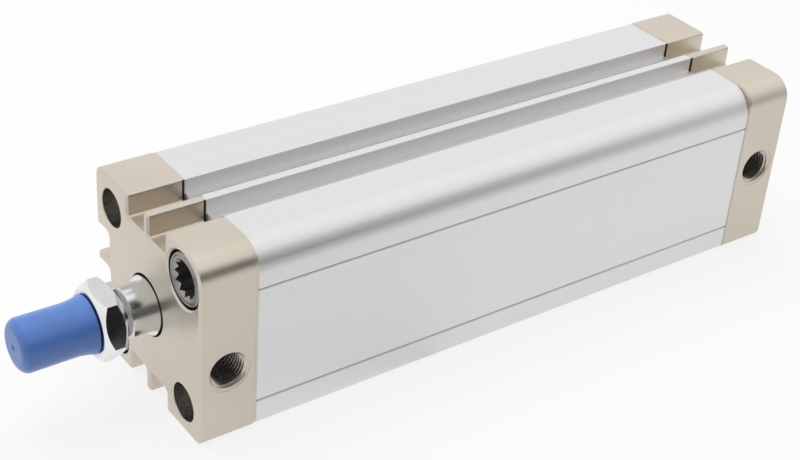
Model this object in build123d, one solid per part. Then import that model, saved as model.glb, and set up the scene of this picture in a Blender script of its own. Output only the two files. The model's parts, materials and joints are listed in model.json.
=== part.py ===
from build123d import *
from math import cos, radians, sin, sqrt
import os

# Double-acting profile cylinder. The rod points along -X, the near flat side with the
# ports faces -Y and +Z is up. The origin is on the rod axis at the front mounting face.
# All sizes are in millimetres.

# Main sizes
stroke = 160.0
bore_diameter = 50.0
rod_diameter = 20.0
cover_length = 20.5
spigot_length = 8.0

# Corner holes: mounting threads on one diagonal, cover screws on the other. The wall
# between the bore and a screw sets their square pitch, 46.5 mm with a 50 mm bore.
bore_to_screw_wall = 1.8605
mount_thread_radius = 5.0
mount_recess_step = 1.6
mount_recess_depth = 9.0
mount_channel_step = 0.7
screw_thread_radius = 6.0
screw_hole_gap = 0.3
screw_head_radius = 8.8
screw_head_gap = 0.8
screw_recess_depth = 13.0
screw_head_sink = 0.5
screw_head_chamfer = 0.5
screw_thread_reach = 20.0
screw_tip_chamfer = 1.0
star_tip_radius = 6.5
star_tooth = 1.0
star_points = 12
star_depth = 7.0

# Outline shared by the covers and the tube
cover_corner_wall = 1.15
channel_side_wall = 1.45
cover_floor_wall = 1.0
round_corner_radius = 8.0
small_corner_radius = 3.0
rib_thickness = 3.2
cover_channel_base_radius = 1.2
cover_edge_chamfer = 0.6
seam_chamfer = 0.4
cutter_margin = 3.0

# Tube profile
tube_inset = 0.15
tube_floor_wall = 3.55
tube_extra_rounding = 2.0
tube_channel_base_radius = 0.5
sensor_groove_depth = 1.8
sensor_groove_outer_ledge = 2.4
sensor_groove_inner_ledge = 3.6
upper_line_drop = 15.0
lower_line_rise = 10.3
line_groove_width = 0.9
line_groove_depth = 0.5

# Ports, thread of nominal size G1/4
port_radius = 6.58
port_depth = 12.0
port_chamfer = 0.4
port_to_recess_wall = 2.27
rear_port_height = 0.0

# Rod guide, seals and end-of-stroke rings
rod_lip_gap = 0.4
rod_lip_length = 2.2
rod_seal_room = 4.5
rod_seal_width = 7.0
rod_seal_lip_notch = 2.2
bushing_wall = 1.5
spigot_ring_width = 3.0
spigot_ring_depth = 1.6
bumper_inner_wall = 1.9
bumper_share = 0.46
bumper_seat_depth = 3.0
air_passage_wall = 1.295
bumper_proud = 1.5
bumper_edge_chamfer = 0.6
stop_gap = 0.3
ring_chamfer_share = 0.28

# Piston
piston_land_gap = 0.3
piston_edge_chamfer = 0.8
piston_outer_land = 3.0
piston_inner_land = 1.7
piston_seal_width = 5.0
piston_seal_depth = 5.2
piston_seal_notch = 1.8
guide_ring_width = 10.0
guide_ring_depth = 2.0
magnet_width = 6.0
magnet_cover = 1.7
magnet_thickness = 7.0
rod_recess_depth = 2.0
rod_ring_width = 2.4
rod_ring_depth = 2.0
rod_ring_place = 5.0
stud_step = 4.0
locknut_wall = 3.5
locknut_height = 8.0
locknut_sink = 1.5
washer_width = 5.0
washer_room = 1.0
washer_thickness = 1.5
stud_end_gap = 0.5

# Rod end, nut and cap
rod_thread_step = 2.0
rod_thread_length = 32.0
rod_reach = 10.6
rod_end_chamfer = 1.2
relief_depth = 1.0
relief_length = 3.0
wrench_flat_depth = 2.0
wrench_flat_start = 0.6
wrench_flat_angle = 55.0
rod_centre_radius = 1.6
rod_centre_depth = 2.6
nut_wall = 4.0
nut_height = 8.0
nut_gap = 1.6
nut_chamfer_slope = 0.85
nut_bore_chamfer = 0.6
nut_corner_angle = 10.0
nut_face_share = 0.92
cap_gap = 0.3
cap_rim_wall = 1.9
cap_flare_length = 7.0
cap_waist_wall = 0.75
cap_closed_wall = 0.9
cap_end_clearance = 0.6
cap_end_wall = 1.8
cap_dome_radius = 3.2

# Clearances
running_gap = 0.05
seat_gap = 0.02
seal_side_gap = 0.2

# The square section, from the bore outwards
bore_radius = bore_diameter / 2
corner = (bore_radius + bore_to_screw_wall + screw_thread_radius + seat_gap) / sqrt(2)
screw_corners = ((-corner, corner), (corner, -corner))
mount_corners = ((corner, corner), (-corner, -corner))
screw_recess_radius = screw_head_radius + screw_head_gap
mount_recess_radius = mount_thread_radius + mount_recess_step
body_width = 2 * (corner + screw_recess_radius + cover_corner_wall)
half_width = body_width / 2
channel_half_width = corner - screw_recess_radius - channel_side_wall
cover_channel_floor = bore_radius + cover_floor_wall
tube_channel_floor = bore_radius + tube_floor_wall
spigot_radius = bore_radius - seat_gap
spigot_groove_radius = spigot_radius - spigot_ring_depth
front_port_height = mount_recess_radius + port_to_recess_wall + port_radius - corner

# The rod and what runs on it
rod_radius = rod_diameter / 2
rod_thread_radius = rod_radius - rod_thread_step
relief_radius = rod_thread_radius - relief_depth
stud_radius = rod_radius - stud_step
rod_seal_radius = rod_radius + rod_seal_room
bushing_radius = rod_radius + bushing_wall
bumper_inner_radius = bushing_radius + bumper_inner_wall

# The bumper and the air passage share the room between the rod's guide and the spigot's groove.
guide_room = spigot_groove_radius - bumper_inner_radius - 2 * air_passage_wall
bumper_outer_radius = bumper_inner_radius + guide_room * bumper_share
air_passage_radius = guide_room * (1 - bumper_share) / 2
air_passage_circle_radius = bumper_outer_radius + air_passage_wall + air_passage_radius

# The piston
piston_half_length = piston_outer_land + piston_seal_width + piston_inner_land + guide_ring_width / 2
piston_length = 2 * piston_half_length
piston_land_radius = bore_radius - piston_land_gap
seal_floor_radius = piston_land_radius - piston_seal_depth
guide_floor_radius = piston_land_radius - guide_ring_depth
magnet_outer_radius = guide_floor_radius - magnet_cover
washer_radius = stud_radius + washer_width
locknut_recess_radius = washer_radius + washer_room
locknut_recess_depth = washer_thickness + locknut_height + locknut_sink
magnet_inner_radius = magnet_outer_radius - magnet_thickness

# Places along the axis
chamber_length = stroke + piston_length + 2 * (bumper_proud + stop_gap)
tube_length = chamber_length + 2 * spigot_length
total_length = tube_length + 2 * cover_length
piston_rear = total_length - cover_length - spigot_length - bumper_proud - stop_gap
piston_front = piston_rear - piston_length
piston_middle = piston_rear - piston_half_length
port_place = cover_length / 2
bushing_start = rod_lip_length + rod_seal_width
spigot_end = cover_length + spigot_length
rod_shoulder = -rod_reach
rod_tip = rod_shoulder - rod_thread_length
nut_back = rod_shoulder - nut_gap
nut_face = nut_back - nut_height
cap_rim = nut_face - cap_gap


def turned(points):
    """Solid of revolution about the rod axis from (x, radius) points."""
    return revolve(make_face(Polyline(*points, close=True)), Axis.X)


def ring(x_low, x_high, inner, outer):
    """Plain ring between two planes along the rod axis."""
    return turned([(x_low, inner), (x_high, inner), (x_high, outer), (x_low, outer)])


def rod_along_x(x_low, x_high, radius, y=0.0, z=0.0):
    """Cylinder along X through a point of the section."""
    length = x_high - x_low
    return Pos(x_low + length / 2, y, z) * Rot(0, 90, 0) * Cylinder(radius, length)


def rod_along_y(y_low, y_high, radius, x, z):
    """Cylinder along Y."""
    length = y_high - y_low
    return Pos(x, y_low + length / 2, z) * Rot(90, 0, 0) * Cylinder(radius, length)


def corner_vertex(sketch, side, height):
    """Vertex of a sketch that lies furthest towards one corner."""
    return sketch.vertices().sort_by(lambda v: v.X * side + v.Y * height)[-1]


def square_outline(width, large_radius, small_radius):
    """Square with one large rounded corner at the near top, small ones at the others."""
    sketch = Rectangle(width, width)
    for side, height in ((1, 1), (-1, -1)):
        sketch = fillet(corner_vertex(sketch, side, height), small_radius)
    for side, height in ((-1, 1), (1, -1)):
        sketch = fillet(corner_vertex(sketch, side, height), large_radius)
    return sketch


def box_between(y_low, y_high, z_low, z_high):
    """Rectangle between two corners of the section."""
    middle = Pos((y_low + y_high) / 2, (z_low + z_high) / 2)
    return middle * Rectangle(y_high - y_low, z_high - z_low)


def channel_cutter(floor, base_radius, groove=False):
    """Channel on one side of the rib, from its floor out through the top side."""
    inner = rib_thickness / 2
    outer = channel_half_width
    top = half_width + cutter_margin
    cutter = box_between(inner, outer, floor, top)
    low_corners = cutter.vertices().sort_by(lambda v: v.Y)[:2]
    cutter = fillet(low_corners, base_radius)
    if groove:
        cutter += box_between(inner + sensor_groove_inner_ledge, outer - sensor_groove_outer_ledge,
                              floor - sensor_groove_depth, top)
    return cutter


def ribbed_section(outline, floor, base_radius, groove=False):
    """Outline with a rib between two channels on its top, far and bottom sides."""
    right = channel_cutter(floor, base_radius, groove)
    pair = right + mirror(right, Plane.YZ)
    for turn in (0, -90, 180):
        outline -= Rot(0, 0, turn) * pair
    return outline


def along_axis(sketch, x_low, length):
    """Extrude a section along X, its first direction laid on Y and its second on Z."""
    return Pos(x_low, 0, 0) * extrude(Plane.YZ * sketch, length)


def cover_blank():
    """Cover body between x = 0 and the seam, before its holes, with its outer edges broken."""
    outline = square_outline(body_width, round_corner_radius, small_corner_radius)
    section = ribbed_section(outline, cover_channel_floor, cover_channel_base_radius)
    blank = along_axis(section, 0, cover_length)
    outer_edges = blank.faces().sort_by(Axis.X)[0].outer_wire().edges()
    blank = chamfer(outer_edges, cover_edge_chamfer)
    seam_edges = blank.faces().sort_by(Axis.X)[-1].outer_wire().edges()
    return chamfer(seam_edges, seam_chamfer)


def spigot():
    """Round spigot that enters the tube, with its ring groove and the bumper's seat."""
    groove_low = cover_length + (spigot_length - spigot_ring_width) / 2
    body = rod_along_x(cover_length, spigot_end, spigot_radius)
    body -= ring(groove_low, groove_low + spigot_ring_width, spigot_groove_radius,
                 spigot_radius + cutter_margin)
    body -= ring(spigot_end - bumper_seat_depth, spigot_end + cutter_margin,
                 bumper_inner_radius - seat_gap, bumper_outer_radius + seat_gap)
    return body


def port_and_passage(height):
    """Threaded port from the near side and the passage from it to the chamber."""
    face = -half_width
    bottom = face + port_depth
    passage_y = -sqrt(air_passage_circle_radius ** 2 - height ** 2)
    hole = rod_along_y(face - cutter_margin, bottom, port_radius, port_place, height)
    mouth_length = port_chamfer + cutter_margin
    mouth = Rot(-90, 0, 0) * Cone(port_radius + port_chamfer + cutter_margin, port_radius,
                                  mouth_length)
    hole += Pos(port_place, face + port_chamfer - mouth_length / 2, height) * mouth
    hole += rod_along_y(bottom - port_chamfer, passage_y, air_passage_radius, port_place, height)
    hole += rod_along_x(port_place - air_passage_radius, spigot_end + cutter_margin,
                        air_passage_radius, passage_y, height)
    return hole


def corner_holes():
    """Recessed mounting threads on one diagonal and the screws' recesses on the other."""
    outside = -cutter_margin
    seam = cover_length + cutter_margin
    screw_hole_radius = screw_thread_radius + screw_hole_gap
    holes = []
    for y, z in mount_corners:
        holes.append(rod_along_x(outside, mount_recess_depth, mount_recess_radius, y, z))
        holes.append(rod_along_x(0, seam, mount_thread_radius, y, z))
    for y, z in screw_corners:
        holes.append(rod_along_x(outside, screw_recess_depth, screw_recess_radius, y, z))
        holes.append(rod_along_x(0, seam, screw_hole_radius, y, z))
    return holes


def plain_cover(port_height):
    """Cover with its spigot, port and corner holes, the outer face at x = 0."""
    cover = cover_blank() + spigot()
    cover -= port_and_passage(port_height)
    for hole in corner_holes():
        cover -= hole
    return cover


def at_rear(shape):
    """Turn something made at the front end to the rear end, the near side kept near."""
    return Pos(total_length, 0, 0) * mirror(shape, Plane.YZ)


def front_cover():
    cover = plain_cover(front_port_height)
    cover -= rod_along_x(-cutter_margin, spigot_end + cutter_margin, rod_radius + rod_lip_gap)
    cover -= rod_along_x(rod_lip_length, bushing_start, rod_seal_radius)
    cover -= rod_along_x(bushing_start, spigot_end + cutter_margin, bushing_radius + seat_gap)
    return cover


def rear_cover():
    return at_rear(plain_cover(rear_port_height))


def profile_tube():
    width = body_width - 2 * tube_inset
    outline = square_outline(width, round_corner_radius + tube_extra_rounding,
                             small_corner_radius)
    section = ribbed_section(outline, tube_channel_floor, tube_channel_base_radius, groove=True)
    for height in (half_width - upper_line_drop, lower_line_rise - half_width):
        groove = Polygon((0, -line_groove_width / 2), (line_groove_depth, 0),
                         (0, line_groove_width / 2), align=None)
        section -= Pos(-width / 2, height) * groove
    section -= Circle(bore_radius)
    for y, z in mount_corners:
        section -= Pos(y, z) * Circle(mount_thread_radius - mount_channel_step)
    for y, z in screw_corners:
        section -= Pos(y, z) * Circle(screw_thread_radius + seat_gap)
    return along_axis(section, cover_length, tube_length)


def star_section():
    """Star of the screws' socket: points alternate between the tip and the root radius."""
    points = []
    for step in range(2 * star_points):
        radius = star_tip_radius - star_tooth * (step % 2)
        angle = radians(step * 180.0 / star_points)
        points.append((radius * cos(angle), radius * sin(angle)))
    return make_face(Polyline(*points, close=True))


def cover_screw():
    """Big round screw on the X axis, its head sunk a little below x = 0."""
    seat = screw_recess_depth
    tip = cover_length + screw_thread_reach
    screw = turned([
        (screw_head_sink, 0),
        (screw_head_sink, screw_head_radius - screw_head_chamfer),
        (screw_head_sink + screw_head_chamfer, screw_head_radius),
        (seat, screw_head_radius),
        (seat, screw_thread_radius),
        (tip - screw_tip_chamfer, screw_thread_radius),
        (tip, screw_thread_radius - screw_tip_chamfer),
        (tip, 0),
    ])
    socket = along_axis(star_section(), screw_head_sink, star_depth)
    star_bottom = screw_head_sink + star_depth
    star_root_radius = star_tip_radius - star_tooth
    drill_point = turned([
        (star_bottom, 0),
        (star_bottom, star_root_radius),
        (star_bottom + star_root_radius / 2, 0),
    ])
    return screw - socket - drill_point


def cover_screws():
    screw = cover_screw()
    return Compound(children=[Pos(0, y, z) * screw for y, z in screw_corners])


def soft_ring(x_low, x_high, inner, outer):
    """Sealing ring with its four edges broken."""
    blank = ring(x_low, x_high, inner, outer)
    return chamfer(blank.edges(), (outer - inner) * ring_chamfer_share)


def spigot_oring():
    middle = cover_length + spigot_length / 2
    half = spigot_ring_width / 2 - seal_side_gap
    return soft_ring(middle - half, middle + half, spigot_groove_radius + seat_gap,
                     bore_radius - seat_gap)


def bumper():
    blank = ring(spigot_end - bumper_seat_depth, spigot_end + bumper_proud, bumper_inner_radius,
                 bumper_outer_radius)
    proud_edges = blank.faces().sort_by(Axis.X)[-1].edges()
    return chamfer(proud_edges, bumper_edge_chamfer)


def rod_bushing():
    return ring(bushing_start + seat_gap, spigot_end, rod_radius + running_gap, bushing_radius)


def rod_seal():
    """Rod seal with a wiping lip at the front and an open notch on the pressure side."""
    low = rod_lip_length + seal_side_gap
    high = bushing_start - seal_side_gap
    inner = rod_radius + running_gap
    outer = rod_seal_radius - seat_gap
    middle = (inner + outer) / 2
    return turned([
        (low, inner),
        (low, middle),
        (low + rod_seal_lip_notch / 2, middle),
        (low, outer),
        (high, outer),
        (high, middle + rod_seal_lip_notch / 2),
        (high - rod_seal_lip_notch, middle),
        (high, middle - rod_seal_lip_notch / 2),
        (high, inner),
    ])


def piston_half(face, outward):
    """Half piston from its outer face to the middle; outward is the way that face looks."""
    def x(depth):
        return face - outward * depth
    land = piston_land_radius
    seal_low = piston_outer_land
    seal_high = piston_outer_land + piston_seal_width
    middle = piston_half_length
    guide_low = middle - guide_ring_width / 2
    magnet_low = middle - magnet_width / 2
    return turned([
        (x(0), stud_radius + seat_gap),
        (x(0), land - piston_edge_chamfer),
        (x(piston_edge_chamfer), land),
        (x(seal_low), land),
        (x(seal_low), seal_floor_radius),
        (x(seal_high), seal_floor_radius),
        (x(seal_high), land),
        (x(guide_low), land),
        (x(guide_low), guide_floor_radius),
        (x(middle), guide_floor_radius),
        (x(middle), magnet_outer_radius + seat_gap),
        (x(magnet_low), magnet_outer_radius + seat_gap),
        (x(magnet_low), magnet_inner_radius - seat_gap),
        (x(middle), magnet_inner_radius - seat_gap),
        (x(middle), stud_radius + seat_gap),
    ])


def piston_front_half():
    half = piston_half(piston_front, -1)
    half -= rod_along_x(piston_front - cutter_margin, piston_front + rod_recess_depth,
                        rod_radius + seat_gap)
    ring_low = piston_front + rod_ring_place
    half -= ring(ring_low, ring_low + rod_ring_width, stud_radius, stud_radius + rod_ring_depth)
    return half


def piston_rear_half():
    half = piston_half(piston_rear, 1)
    return half - rod_along_x(piston_rear - locknut_recess_depth, piston_rear + cutter_margin,
                              locknut_recess_radius)


def piston_magnet():
    half = magnet_width / 2 - seat_gap
    return ring(piston_middle - half, piston_middle + half, magnet_inner_radius, magnet_outer_radius)


def piston_guide_ring():
    half = guide_ring_width / 2 - seal_side_gap
    return ring(piston_middle - half, piston_middle + half, guide_floor_radius + running_gap,
                bore_radius - running_gap)


def piston_seal(face, outward):
    """Lip seal in a half's groove, its notch open to the chamber that it holds."""
    low = face - outward * (piston_outer_land + seal_side_gap)
    high = face - outward * (piston_outer_land + piston_seal_width - seal_side_gap)
    inner = seal_floor_radius + running_gap
    outer = bore_radius - running_gap
    middle = (inner + outer) / 2
    notch_end = low - outward * piston_seal_notch
    return turned([
        (low, inner),
        (low, middle - piston_seal_notch / 2),
        (notch_end, middle),
        (low, middle + piston_seal_notch / 2),
        (low, outer),
        (high, outer),
        (high, inner),
    ])


def rod_oring():
    low = piston_front + rod_ring_place + seal_side_gap
    high = low + rod_ring_width - 2 * seal_side_gap
    return soft_ring(low, high, stud_radius + seat_gap, stud_radius + rod_ring_depth - seat_gap)


def piston_washer():
    low = piston_rear - locknut_recess_depth
    return ring(low, low + washer_thickness, stud_radius + seat_gap, washer_radius)


def hexagon_nut(x_low, x_high, across_flats, bore, turn):
    """Hexagon nut along X with both ends chamfered to a cone."""
    corner_radius = across_flats / sqrt(3)
    blank = along_axis(Rot(0, 0, turn) * RegularPolygon(corner_radius, 6), x_low, x_high - x_low)
    face_radius = across_flats / 2 * nut_face_share
    chamfer_height = (corner_radius - face_radius) * nut_chamfer_slope
    barrel = turned([
        (x_low, 0),
        (x_low, face_radius),
        (x_low + chamfer_height, corner_radius + seat_gap),
        (x_high - chamfer_height, corner_radius + seat_gap),
        (x_high, face_radius),
        (x_high, 0),
    ])
    hole = turned([
        (x_low - cutter_margin, 0),
        (x_low - cutter_margin, bore + nut_bore_chamfer + cutter_margin),
        (x_low + nut_bore_chamfer, bore),
        (x_high - nut_bore_chamfer, bore),
        (x_high + cutter_margin, bore + nut_bore_chamfer + cutter_margin),
        (x_high + cutter_margin, 0),
    ])
    return (blank & barrel) - hole


def piston_locknut():
    low = piston_rear - locknut_recess_depth + washer_thickness
    return hexagon_nut(low, low + locknut_height, 2 * (stud_radius + locknut_wall),
                       stud_radius + seat_gap, 0)


def piston_rod():
    """Rod with its threaded end, relief, shoulder, wrench flats and the piston's stud."""
    relief_end = rod_shoulder - relief_length
    stud_start = piston_front + rod_recess_depth
    stud_end = piston_rear - stud_end_gap
    rod = turned([
        (rod_tip + rod_centre_depth, 0),
        (rod_tip, rod_centre_radius),
        (rod_tip, rod_thread_radius - rod_end_chamfer),
        (rod_tip + rod_end_chamfer, rod_thread_radius),
        (relief_end, rod_thread_radius),
        (relief_end + rod_end_chamfer / 2, relief_radius),
        (rod_shoulder, relief_radius),
        (rod_shoulder, rod_radius - rod_end_chamfer),
        (rod_shoulder + rod_end_chamfer, rod_radius),
        (stud_start, rod_radius),
        (stud_start, stud_radius),
        (stud_end - rod_end_chamfer, stud_radius),
        (stud_end, stud_radius - rod_end_chamfer),
        (stud_end, 0),
    ])
    flats_length = rod_reach - wrench_flat_start
    block_size = rod_diameter + cutter_margin
    for side in (1, -1):
        block = Box(flats_length, block_size, block_size)
        place = side * (rod_radius - wrench_flat_depth + block_size / 2)
        rod -= Rot(wrench_flat_angle, 0, 0) * Pos(rod_shoulder + flats_length / 2, place, 0) * block
    return rod


def rod_nut():
    return hexagon_nut(nut_face, nut_back, 2 * (rod_thread_radius + nut_wall),
                       rod_thread_radius + running_gap, nut_corner_angle)


def thread_cap():
    """Soft cap over the rod's thread, flared to its rim and rounded at its closed end."""
    inner = rod_thread_radius + running_gap
    rim = rod_thread_radius + cap_rim_wall
    waist = (cap_rim - cap_flare_length, rod_thread_radius + cap_waist_wall)
    inner_end = rod_tip - cap_end_clearance
    outer_end = inner_end - cap_end_wall
    sides = Polyline(
        (cap_rim, rim),
        (cap_rim, inner),
        (inner_end, inner),
        (inner_end, 0),
        (outer_end, 0),
        (outer_end, rod_thread_radius + cap_closed_wall),
        waist,
    )
    flare = TangentArc(waist, (cap_rim, rim), tangent=(1, 0))
    cap = revolve(make_face(sides + flare), Axis.X)
    dome_edge = cap.faces().sort_by(Axis.X)[0].edges()
    return fillet(dome_edge, cap_dome_radius)


os.makedirs("parts", exist_ok=True)

nodes = {
    "front_cover": front_cover(),
    "rear_cover": rear_cover(),
    "profile_tube": profile_tube(),
    "front_cover_screws": cover_screws(),
    "rear_cover_screws": at_rear(cover_screws()),
    "front_spigot_oring": spigot_oring(),
    "rear_spigot_oring": at_rear(spigot_oring()),
    "rod_bushing": rod_bushing(),
    "rod_seal": rod_seal(),
    "front_bumper": bumper(),
    "rear_bumper": at_rear(bumper()),
    "piston_front_half": piston_front_half(),
    "piston_rear_half": piston_rear_half(),
    "piston_magnet": piston_magnet(),
    "piston_guide_ring": piston_guide_ring(),
    "piston_seal_front": piston_seal(piston_front, -1),
    "piston_seal_rear": piston_seal(piston_rear, 1),
    "rod_oring": rod_oring(),
    "piston_washer": piston_washer(),
    "piston_locknut": piston_locknut(),
    "piston_rod": piston_rod(),
    "rod_nut": rod_nut(),
    "thread_cap": thread_cap(),
}

for name, shape in nodes.items():
    export_step(shape, os.path.join("parts", name + ".step"))
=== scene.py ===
import json
from math import atan2, ceil, cos, hypot, pi, radians, sin, sqrt, tan

import bmesh
import bpy
from mathutils import Matrix, Vector

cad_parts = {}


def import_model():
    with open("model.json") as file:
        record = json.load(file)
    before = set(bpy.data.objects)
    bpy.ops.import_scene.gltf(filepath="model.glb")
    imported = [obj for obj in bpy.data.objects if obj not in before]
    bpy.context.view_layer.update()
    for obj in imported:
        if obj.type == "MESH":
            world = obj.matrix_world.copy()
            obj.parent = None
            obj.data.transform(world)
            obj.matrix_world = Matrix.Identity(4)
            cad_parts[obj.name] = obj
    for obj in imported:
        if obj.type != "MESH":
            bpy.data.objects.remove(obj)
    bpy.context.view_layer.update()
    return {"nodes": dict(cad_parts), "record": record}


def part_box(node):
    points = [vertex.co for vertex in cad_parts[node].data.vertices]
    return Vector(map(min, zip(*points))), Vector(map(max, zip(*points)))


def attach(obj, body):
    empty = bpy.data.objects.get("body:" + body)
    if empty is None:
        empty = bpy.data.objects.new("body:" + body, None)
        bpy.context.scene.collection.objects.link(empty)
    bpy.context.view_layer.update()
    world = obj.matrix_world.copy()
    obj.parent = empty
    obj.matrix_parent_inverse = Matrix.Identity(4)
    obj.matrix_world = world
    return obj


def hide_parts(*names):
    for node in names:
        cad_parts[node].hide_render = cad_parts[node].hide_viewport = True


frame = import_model()

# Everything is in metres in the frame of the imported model: the rod points along -X, the flat
# side with the ports faces -Y and +Z is up.

front_low, front_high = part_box("front_cover")
tube_low, tube_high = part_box("profile_tube")
rear_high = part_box("rear_cover")[1]
rod_low, rod_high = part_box("piston_rod")
nut_low, nut_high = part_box("rod_nut")
cap_low, cap_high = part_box("thread_cap")
screw_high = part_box("front_cover_screws")[1]

BODY_WIDTH = front_high.y - front_low.y
TUBE_WIDTH = tube_high.y - tube_low.y
COVER_LENGTH = tube_low.x - front_low.x
SPIGOT_LENGTH = front_high.x - tube_low.x
TOTAL_LENGTH = rear_high.x - front_low.x

# Outline
CORNER_RADIUS = 0.008
SMALL_CORNER_RADIUS = 0.003
TUBE_EXTRA_ROUNDING = 0.002
CHANNEL_HALF_WIDTH = 0.0122
RIB_HALF = 0.0016
COVER_CHANNEL_DEPTH = 0.008
TUBE_CHANNEL_DEPTH = 0.0053
COVER_BASE_RADIUS = 0.0012
TUBE_BASE_RADIUS = 0.0001
COVER_RIM_RADIUS = 0.001
TUBE_RIM_RADIUS = 0.0003
GROOVE_INNER = 0.0052
GROOVE_OUTER = 0.0098
GROOVE_DEPTH = 0.0018
LINE_HEIGHTS = (0.019, -0.0237)
LINE_HALF_WIDTH = 0.00045
LINE_DEPTH = 0.0005
COVER_EDGE_WIDTH = 0.00095
COVER_EDGE_DEPTH = 0.00065
SEAM_CHAMFER = 0.0003
SEAM_STEP = 0.0007
SEAM_LENGTH = 0.001
TUBE_CHAMFER = 0.00025
# Share of the corner rounding that the painted shade along the near side seam reaches
NEAR_SIDE_SHARE = 0.8

# Holes
CORNER = 0.02325
SCREW_CORNERS = ((-CORNER, CORNER), (CORNER, -CORNER))
MOUNT_CORNERS = ((CORNER, CORNER), (-CORNER, -CORNER))
MOUTH_CHAMFER = 0.0003
MOUNT_RECESS_RADIUS = 0.0066
MOUNT_RECESS_DEPTH = 0.009
MOUNT_MAJOR = 0.005
MOUNT_MINOR = 0.00419
MOUNT_PITCH = 0.0015
MOUNT_CHANNEL_RADIUS = 0.0043
SCREW_RECESS_RADIUS = 0.0096
SCREW_MOUTH_CHAMFER = 0.0006
SCREW_RECESS_DEPTH = 0.013
SCREW_HOLE_RADIUS = 0.0063
PORT_X = COVER_LENGTH / 2
PORT_HEIGHTS = {"front": -0.0078, "rear": 0.0}
PORT_MAJOR = 0.00658
PORT_MINOR = 0.00572
PORT_PITCH = 0.001337
PORT_DEPTH = 0.012
PORT_CHAMFER = 0.0004
SPOT_RADIUS = 0.0076
SPOT_DEPTH = 0.00012
PASSAGE_RADIUS = 0.001998
PASSAGE_CIRCLE = 0.02009
ROD_LIP_RADIUS = 0.0104
ROD_LIP_LENGTH = 0.0022
ROD_SEAL_RADIUS = 0.0145
ROD_SEAL_END = 0.0092
BUSHING_RADIUS = 0.01152
SPIGOT_RADIUS = 0.02498
SPIGOT_GROOVE_RADIUS = 0.02338
SPIGOT_GROOVE_HALF = 0.0015
BUMPER_SEAT = (0.01338, 0.01682, 0.003)
BORE_RADIUS = 0.025

# Screws, rod, nut and cap
SCREW_HEAD_RADIUS = 0.0088
SCREW_SHANK_RADIUS = 0.006
SCREW_SINK = 0.0005
SCREW_GROOVE_RADIUS = 0.0078
SCREW_GROOVE_HALF = 0.0002
SCREW_EDGE = 0.0004
RING_STEP = 0.00028
RING_DEPTH = 0.00005
STAR_TIP = 0.0065
STAR_ROOT = 0.0055
STAR_POINTS = 12
STAR_DEPTH = 0.007
STAR_MOUTH = 0.0068
ROD_RADIUS = 0.01
ROD_SHOULDER = -0.0106
ROD_EDGE = 0.0012
ROD_END_EDGE = 0.0006
RELIEF_RADIUS = 0.007
RELIEF_LENGTH = 0.003
ROD_MAJOR = 0.008
ROD_MINOR = 0.00708
ROD_PITCH = 0.0015
FLAT_HALF = 0.008
FLAT_START = -0.0006
FLAT_ANGLE = 55.0
FLAT_RUNOUT = 0.0018
STUD_RADIUS = 0.006
STUD_LENGTH = 0.0269
CENTRE_RADIUS = 0.0016
CENTRE_DEPTH = 0.0026
NUT_FLATS = 0.024
NUT_FACE_SHARE = 0.92
NUT_CHAMFER_SLOPE = 0.85
NUT_TURN = 10.0
NUT_EDGE = 0.0003
# Slopes and reach of the nut's faces that take the lighter cone colour, a painted highlight
NUT_CONE_SLOPES = (0.3, 0.95)
NUT_CONE_SHARE = 0.98
NUT_MINOR = 0.0081
NUT_MAJOR = 0.0089
NUT_MOUTH_DEPTH = 0.0009
NUT_MOUTH_WIDENING = 0.0007
CAP_FLARE = 0.007
CAP_WAIST = 0.00875
CAP_INNER = 0.00805
CAP_END_GAP = 0.0006
CAP_EDGE = 0.00025
CAP_DOME = 0.0032
CAP_END_RADIUS = 0.0089
CAP_MARK = 0.0009
CAP_MARK_SHARE = 1.25
CAP_MARK_DEPTHS = (0.00025, 0.00035)
CAP_INNER_BEVEL = 0.001
CAP_RIM_BEVEL = 0.0004

# Mesh fineness
ARC_STEP = radians(7.5)
ROUND_SEGMENTS = 128
THREAD_SEGMENTS = 72
CHANNEL_SEGMENTS = 64
CENTRE_SEGMENTS = 48
PASSAGE_SEGMENTS = 32
CURVE_STEPS = 8
DOME_STEPS = 10
EDGE_SEGMENTS = 3
SHARP_ANGLE = radians(32)
OVERRUN = 0.003
APART = 0.00002
WELD = 1e-7

# Camera, worked out from the photograph's perspective
CAMERA_TARGET = Vector((0.1360, 0.04835, -0.0420))
CAMERA_AZIMUTH = -37.76
CAMERA_ELEVATION = 32.54
CAMERA_ROLL = 4.56
CAMERA_DISTANCE = 0.6338
CAMERA_LENS = 72.43

# Floor and light
FLOOR_HEIGHT = front_low.z
FLOOR_SIZE = 6.0
DARK_WALL_DISTANCE = 1.3
DARK_WALL_HEIGHT = 1.0
DARK_WALL_ENDS = (-3.5, 1.4)
DARK_WALL_COLOUR = (0.025, 0.025, 0.027, 1)
FLOOR_COLOUR = (0.86, 0.86, 0.86, 1)
FLOOR_GLOW_SHARE = 0.82
WORLD_ON_OBJECT = 0.55
WORLD_IN_GLOSS = 0.93
WORLD_CAMERA_EXTRA = 0.07
TOP_LIGHT_PLACE = (0.05, 0.25, 0.95)
TOP_LIGHT_SIZE = (0.9, 0.9)
TOP_LIGHT_POWER = 7.0
PANEL_PLACE = (1.0, -0.3, 1.4)
PANEL_SIZE = (2.2, 1.4)
PANEL_POWER = 1.3


def new_object(name, bm):
    """Object with that bmesh as its mesh, linked to the scene."""
    bmesh.ops.recalc_face_normals(bm, faces=bm.faces)
    if bm.calc_volume(signed=True) < 0:
        bmesh.ops.reverse_faces(bm, faces=bm.faces)
    mesh = bpy.data.meshes.new(name)
    bm.to_mesh(mesh)
    bm.free()
    obj = bpy.data.objects.new(name, mesh)
    bpy.context.scene.collection.objects.link(obj)
    return obj


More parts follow.
